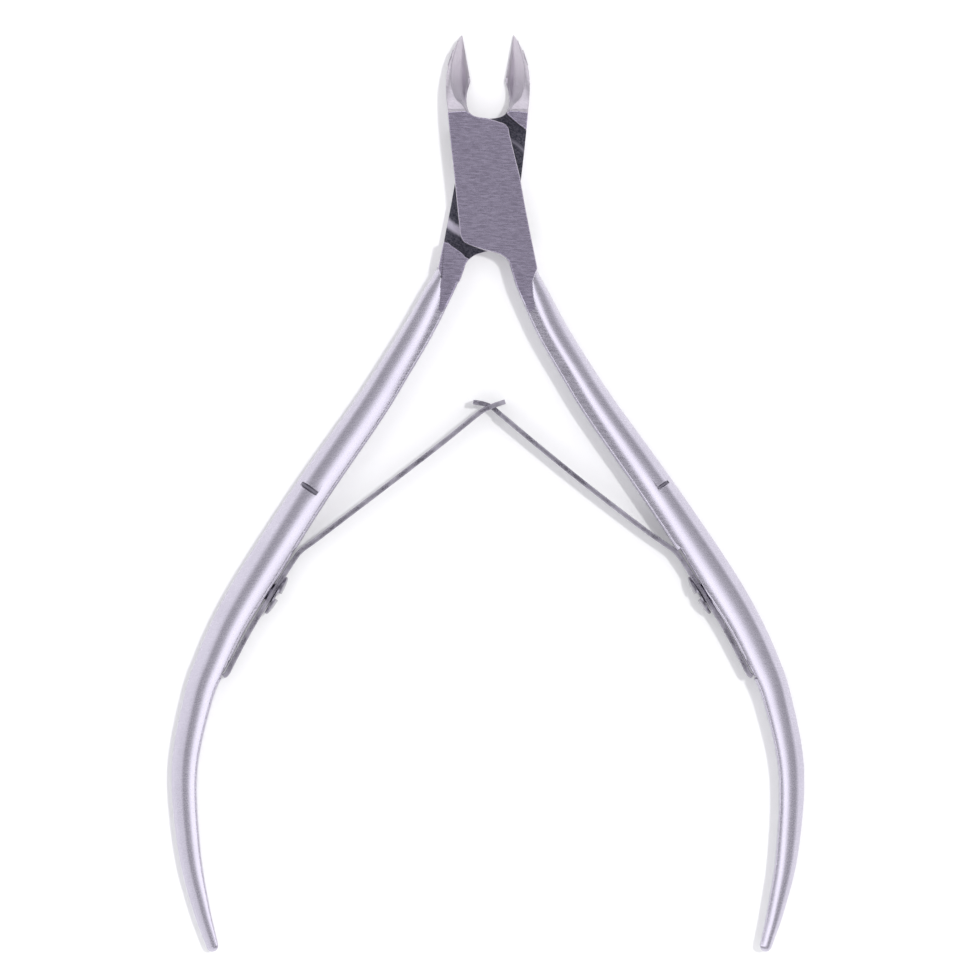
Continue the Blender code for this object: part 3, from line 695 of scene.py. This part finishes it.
def jaw_front_rings(side):
    rings = []
    top = THICKNESS + 2 * PAST
    start, end = side * JAW_CUT_INNER, side * JAW_CUT_OUTER
    for y, inner, ridge, outer, edge_z, ridge_z, fall in smooth_rows(JAW_STATIONS, JAW_STEPS):
        ring = [(start, y, edge_z), (side * inner, y, edge_z)]
        for i in range(1, HOLLOW_POINTS + 1):
            u = i / HOLLOW_POINTS
            rise = (ridge_z - edge_z) * u**HOLLOW_POWER
            ring.append((side * (inner + (ridge - inner) * u), y, edge_z + rise))
        for u in FLANK_FRACTIONS:
            ring.append((side * (ridge + (outer - ridge) * u), y, ridge_z - fall * (outer - ridge) * u**2))
        ring.append((end, y, ring[-1][2]))
        ring.append((end, y, top))
        ring.append((start, y, top))
        rings.append(ring)
    return rings


def seat_frame(side):
    along = (Vector(SPRING_TAIL) - Vector(SPRING_BEND)).normalized()
    off = Vector((-abs(along.y), -along.x))
    return Vector((side * along.x, along.y)), Vector((side * off.x, off.y))


def seat_rotation(side):
    along, off = seat_frame(side)
    x_axis = Vector((along.x, along.y, 0.0))
    z_axis = Vector((off.x, off.y, 0.0))
    return Matrix((x_axis, z_axis.cross(x_axis), z_axis)).transposed().to_4x4()


def screw_place(side):
    along, off = seat_frame(side)
    flat = Vector((side * SPRING_BEND[0], SPRING_BEND[1])) + along * SCREW_FROM_BEND - off * SCREW_BOW
    return Vector((flat.x, flat.y, MID))


def make_arm(name, which):
    """One forging, cut as the model's arm is; each cut surface takes its cutter's finish."""
    jaw_side = 1 if which == "rear" else -1
    handle_side = -jaw_side
    ground = ground_finish(f"{name}_ground_flats")
    sides = flank_finish(f"{name}_satin_sides")
    recess = recess_finish(f"{name}_milled_recess")
    polish = handle_finish(f"{name}_handle_polish", handle_side)
    hollow = hollow_finish(f"{name}_hollow_grind")
    nick = nick_finish(f"{name}_nick")
    arm = prism(name, mirrored(HEAD_OUTLINE, jaw_side), -SPARE, THICKNESS + SPARE, sides, ground)
    combine(arm, loft("handle", handle_rings(which, handle_side), (polish,)), "UNION")
    slab = ((cad_high.x - cad_low.x) * 2 / MM, (cad_high.y - cad_low.y) * 3 / MM, THICKNESS)
    combine(arm, box("slab", slab, Vector((0.0, 0.0, MID)), ground), "INTERSECT")
    if which == "rear":
        low, high = MID - LAP_CLEARANCE / 2, THICKNESS + PAST
    else:
        low, high = -PAST, MID + LAP_CLEARANCE / 2
    combine(arm, prism("lap", mirrored(LAP_OUTLINE, jaw_side), low, high, sides, recess), "DIFFERENCE")
    cut_pivot_hole(arm, which, recess)
    cut_nick(arm, which, handle_side, nick)
    cut_spring_seat(arm, handle_side, ground)
    jaw_front = loft(
        "jaw_front", jaw_front_rings(jaw_side), (sides, hollow), lambda i: 1 if 1 <= i <= HOLLOW_POINTS else 0
    )
    combine(arm, jaw_front, "DIFFERENCE")
    slope = math.atan2(JAW_RELIEF, JAW_REACH - RELIEF_START)
    corner = Vector((0.0, RELIEF_SIZE[1] / 2, -RELIEF_SIZE[2] / 2))
    tilt = Matrix.Rotation(slope, 4, "X") @ Matrix.Translation(corner)
    relief_place = Vector((jaw_side * RELIEF_MIDDLE, RELIEF_START, 0.0))
    combine(arm, box("relief", RELIEF_SIZE, relief_place, ground, tilt), "DIFFERENCE")
    settle(arm, ARM_WELD)
    ease_edges(arm)
    body = f"{which}_arm_unit"
    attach(arm, body)
    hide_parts(f"{which}_arm")
    return arm


def cut_pivot_hole(arm, which, finish):
    radius = PIVOT_SHANK_RADIUS + RUNNING_FIT
    if which == "rear":
        wide = PIVOT_HEAD_RADIUS + RUNNING_FIT
        cone_top = PIVOT_HEAD_SINK + PIVOT_CONE + RUNNING_FIT
        rim_top = PIVOT_HEAD_SINK + PIVOT_RIM + RUNNING_FIT
        profile = [(0.0, THICKNESS), (radius, THICKNESS), (radius, cone_top)]
        profile += [(wide, rim_top), (wide, -PAST), (0.0, -PAST)]
    else:
        end = PIVOT_TOP + PIVOT_END_ROOM
        profile = [(0.0, end), (radius, end), (radius, 0.0), (0.0, 0.0)]
    combine(arm, turned("bore", profile, finish), "DIFFERENCE")


def cut_nick(arm, which, side, finish):
    """A V-shaped cut across the handle, made by a wheel that stands over it."""
    upper, lower = NICK_DIRECTION
    along = (Vector(lower) - Vector(upper)).normalized()
    inward = Vector((along.y, -along.x))
    half_chord = math.sqrt(NICK_RADIUS**2 - (NICK_RISE + NICK_LEVEL) ** 2)
    centre = Vector(NICK_STARTS[which]) + inward * (NICK_REACH[which] - half_chord)
    turn = Matrix.Rotation(math.atan2(along.y, side * along.x), 4, "Z") @ Matrix.Rotation(math.pi / 2, 4, "Y")
    place = Vector((side * centre.x, centre.y, THICKNESS + NICK_RISE))
    half = NICK_WIDTH[which] / 2
    wide = half + NICK_FLARE * (NICK_RADIUS - NICK_RISE)
    profile = [(0.0, wide), (NICK_RISE, wide), (NICK_RADIUS, half)]
    profile += [(radius, -height) for radius, height in reversed(profile)]
    combine(arm, turned("nick", profile, finish, Matrix.Translation(place) @ turn), "DIFFERENCE")


def cut_spring_seat(arm, side, finish):
    rotation = seat_rotation(side)
    along, off = seat_frame(side)
    length = (Vector(SPRING_TAIL) - Vector(SPRING_BEND)).length + SEAT_BEFORE_BEND + SEAT_PAST_TAIL
    bend = Vector((side * SPRING_BEND[0], SPRING_BEND[1]))
    face = STRIP_THICKNESS / 2 + SEAT_CLEARANCE + SEAT_ROOM
    middle = bend + along * (length / 2 - SEAT_BEFORE_BEND) + off * (SEAT_CUT_HEIGHT / 2 - face)
    size = (length, SEAT_CUT_DEPTH, SEAT_CUT_HEIGHT)
    combine(arm, box("seat", size, Vector((middle.x, middle.y, MID)), finish, rotation), "DIFFERENCE")
    deep = SHANK_LENGTH + HOLE_ROOM
    into = screw_place(side) + Vector((off.x, off.y, 0.0)) * (STRIP_THICKNESS - deep) / 2
    combine(arm, rod("hole", SHANK_RADIUS + RUNNING_FIT, deep, into, finish, rotation), "DIFFERENCE")


def make_strip(name, side, line, tip, cut):
    """A rolled strip with rounded edges, swept from its curled tail along the seat and the free line."""
    route = smooth_rows([*SPRING_SEAT, SPRING_BEND, *line, *tip], STRIP_STEPS)
    half, deep = STRIP_THICKNESS / 2, STRIP_DEPTH / 2
    section = []
    for sx, sz, start in ((1, 1, 0), (-1, 1, 90), (-1, -1, 180), (1, -1, 270)):
        for turn in (0, 22.5, 45, 67.5, 90):
            angle = math.radians(start + turn)
            out = (sx * (half - STRIP_CORNER), sz * (deep - STRIP_CORNER))
            section.append((out[0] + STRIP_CORNER * math.cos(angle), out[1] + STRIP_CORNER * math.sin(angle)))
    rings = []
    for before, here, after in zip([route[0], *route[:-1]], route, [*route[1:], route[-1]]):
        along = Vector(after) - Vector(before)
        along.normalize()
        across = Vector((-along.y, along.x))
        spots = [(Vector(here) + across * u, v) for u, v in section]
        rings.append([(side * spot.x, spot.y, MID + v) for spot, v in spots])
    strip = loft(name, rings, (strip_finish(f"{name}_rolled"),))
    place = screw_place(side)
    finish = strip.data.materials[0]
    wide = SHANK_RADIUS + 2 * RUNNING_FIT
    hole = rod("hole", wide, STRIP_HOLE_LENGTH, place, finish, seat_rotation(side))
    combine(strip, hole, "DIFFERENCE")
    cut(strip, side)
    settle(strip)
    ease_edges(strip, STRIP_EDGE_WIDTH)
    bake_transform(strip)
    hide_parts(name_of_spring(side))
    return strip


def name_of_spring(side):
    return "tongue_spring" if side > 0 else "window_spring"


def cut_window(strip, side):
    length, height = WINDOW_SIZE
    place = Vector((side * WINDOW_MIDDLE[0], WINDOW_MIDDLE[1], MID))
    turn = Matrix.Rotation(side * WINDOW_SLOPE, 4, "Z")
    size = (length, STRIP_CUT_WIDTH, height)
    combine(strip, box("window", size, place, strip.data.materials[0], turn), "DIFFERENCE")


def cut_neck(strip, side):
    length, height = NECK_SIZE
    rise = height / 2 + STRIP_DEPTH / 2
    turn = Matrix.Rotation(side * NECK_SLOPE, 4, "Z")
    for direction in (1, -1):
        place = Vector((side * NECK_MIDDLE[0], NECK_MIDDLE[1], MID + direction * rise))
        size = (length, STRIP_CUT_WIDTH, STRIP_DEPTH)
        combine(strip, box("neck", size, place, strip.data.materials[0], turn), "DIFFERENCE")


def make_spring_screw(side, which):
    rise = HEAD_HEIGHT - HEAD_RIM
    profile = [(0.0, HEAD_HEIGHT)]
    for turn in (10, 20, 30, 40, 50, 58, 66, 74, 82, 90):
        angle = math.radians(turn)
        profile.append((HEAD_RADIUS * math.sin(angle), HEAD_RIM + rise * math.cos(angle)))
    profile += [(HEAD_RADIUS, 0.06), (HEAD_RADIUS - 0.04, HEAD_CLEARANCE), (SHANK_RADIUS, HEAD_CLEARANCE)]
    profile += [(SHANK_RADIUS, 0.2 - SHANK_LENGTH), (SHANK_RADIUS - 0.2, -SHANK_LENGTH), (0.0, -SHANK_LENGTH)]
    _, off = seat_frame(side)
    outward = Vector((off.x, off.y, 0.0))
    place = screw_place(side) + outward * STRIP_THICKNESS / 2
    name = f"{name_of_spring(side)}_screw"
    finish = turned_finish(f"{name}_steel")
    screw = turned(f"{name}_fine", profile, finish, Matrix.Translation(place) @ seat_rotation(side))
    size = (SCREW_SLOT_WIDTH, 3 * HEAD_RADIUS, 2 * SCREW_SLOT_DEPTH)
    slot = box("slot", size, place + outward * HEAD_HEIGHT, finish, seat_rotation(side))
    combine(screw, slot, "DIFFERENCE")
    settle(screw)
    ease_edges(screw, SCREW_EDGE_WIDTH)
    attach(screw, f"{which}_arm_unit")
    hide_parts(name)


def make_pivot_screw():
    cone_top = PIVOT_HEAD_SINK + PIVOT_CONE
    profile = (
        (0.0, PIVOT_TOP),
        (PIVOT_SHANK_RADIUS - PIVOT_CHAMFER, PIVOT_TOP),
        (PIVOT_SHANK_RADIUS, PIVOT_TOP - PIVOT_CHAMFER),
        (PIVOT_SHANK_RADIUS, cone_top),
        (PIVOT_HEAD_RADIUS, PIVOT_HEAD_SINK + PIVOT_RIM),
        (PIVOT_HEAD_RADIUS, PIVOT_HEAD_SINK),
        (0.0, PIVOT_HEAD_SINK),
    )
    finish = turned_finish("pivot_screw_steel")
    screw = turned("pivot_screw_fine", profile, finish)
    size = (3 * PIVOT_HEAD_RADIUS, PIVOT_SLOT_WIDTH, 2 * (PIVOT_HEAD_SINK + PIVOT_SLOT_DEPTH))
    slot = box("slot", size, Vector(), finish, Matrix.Rotation(PIVOT_SLOT_TURN, 4, "Z"))
    combine(screw, slot, "DIFFERENCE")
    settle(screw)
    ease_edges(screw, SCREW_EDGE_WIDTH)
    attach(screw, "front_arm_unit")
    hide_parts("pivot_screw")


# ---------------------------------------------------------------- stage

FRAME_WIDTH = 0.10652
CAMERA_HEIGHT = 1.2
CAMERA_SHIFT = Vector((0.00023, 0.00031, 0.0))
FLOOR_SIZE = 3.0
SUN_STRENGTH = 1.05
SUN_SPREAD = math.radians(3)
TABLE_GLOW = 0.12
SUN_LEAN = (math.radians(13), math.radians(5))


def make_camera():
    camera = bpy.data.cameras.new("camera")
    camera.sensor_width = 36.0
    camera.lens = camera.sensor_width * CAMERA_HEIGHT / FRAME_WIDTH
    camera.clip_start = 0.01
    holder = bpy.data.objects.new("camera", camera)
    middle = (cad_low + cad_high) / 2
    holder.location = middle + CAMERA_SHIFT + Vector((0.0, 0.0, CAMERA_HEIGHT))
    bpy.context.scene.collection.objects.link(holder)
    bpy.context.scene.camera = holder


def make_floor():
    shape = bmesh.new()
    bmesh.ops.create_grid(shape, x_segments=1, y_segments=1, size=FLOOR_SIZE / 2)
    mesh = bpy.data.meshes.new("floor")
    shape.to_mesh(mesh)
    shape.free()
    floor = bpy.data.objects.new("floor", mesh)
    bpy.context.scene.collection.objects.link(floor)
    n = Nodes("floor_paper")
    grain = n.noise((2.0, 2.0, 2.0))
    n.shader.inputs["Specular IOR Level"].default_value = 0.0
    n.feed(n.shader.inputs["Emission Color"], (1.0, 1.0, 1.0, 1.0))
    n.feed(n.shader.inputs["Emission Strength"], TABLE_GLOW)
    floor.data.materials.append(n.done(n.mix(grain, (0.85, 0.85, 0.85), (0.87, 0.87, 0.87)), 0.9, 0.0))
    floor.location.z = cad_low.z


# The light tent by angle from straight up: degrees, then brightness.
TENT = (
    (0, 0.20),
    (12, 0.22),
    (16, 1.9),
    (31, 1.9),
    (38, 0.50),
    (62, 0.50),
    (74, 1.0),
    (90, 1.1),
)
TENT_PEAK = 2.5


def make_tent():
    """A white tent whose roof has a dim opening above the table, with bright panels round it."""
    world = bpy.data.worlds.new("tent")
    world.use_nodes = True
    bpy.context.scene.world = world
    tree = world.node_tree
    back = tree.nodes["Background"]
    place = tree.nodes.new("ShaderNodeTexCoord")
    split = tree.nodes.new("ShaderNodeSeparateXYZ")
    angle = tree.nodes.new("ShaderNodeMath")
    angle.operation = "ARCCOSINE"
    share = tree.nodes.new("ShaderNodeMath")
    share.operation = "DIVIDE"
    share.inputs[1].default_value = math.pi / 2
    ramp = tree.nodes.new("ShaderNodeValToRGB")
    tree.links.new(place.outputs["Generated"], split.inputs[0])
    tree.links.new(split.outputs["Z"], angle.inputs[0])
    tree.links.new(angle.outputs[0], share.inputs[0])
    tree.links.new(share.outputs[0], ramp.inputs[0])
    tree.links.new(ramp.outputs[0], back.inputs["Color"])
    back.inputs["Strength"].default_value = TENT_PEAK
    stops = ramp.color_ramp.elements
    while len(stops) < len(TENT):
        stops.new(0.5)
    for stop, (degrees, level) in zip(stops, TENT):
        stop.position = degrees / 90
        stop.color = (level / TENT_PEAK, level / TENT_PEAK, level / TENT_PEAK * 1.03, 1.0)


def make_sun():
    """An overhead light, kept out of reflections, that lays a faint shadow to the lower left."""
    light = bpy.data.lights.new("sun", "SUN")
    light.energy = SUN_STRENGTH
    light.angle = SUN_SPREAD
    sun = bpy.data.objects.new("sun", light)
    sun.rotation_euler = (-SUN_LEAN[1], SUN_LEAN[0], 0.0)
    sun.visible_glossy = False
    bpy.context.scene.collection.objects.link(sun)


make_arm("front_arm_forging", "front")
make_arm("rear_arm_forging", "rear")
make_strip("tongue_leaf", 1, TONGUE_LINE, TONGUE_TIP, cut_neck)
make_strip("window_leaf", -1, WINDOW_LINE, WINDOW_TIP, cut_window)
make_spring_screw(1, "front")
make_spring_screw(-1, "rear")
make_pivot_screw()
make_camera()
make_floor()
make_tent()
make_sun()
bpy.context.scene.view_settings.view_transform = "Standard"
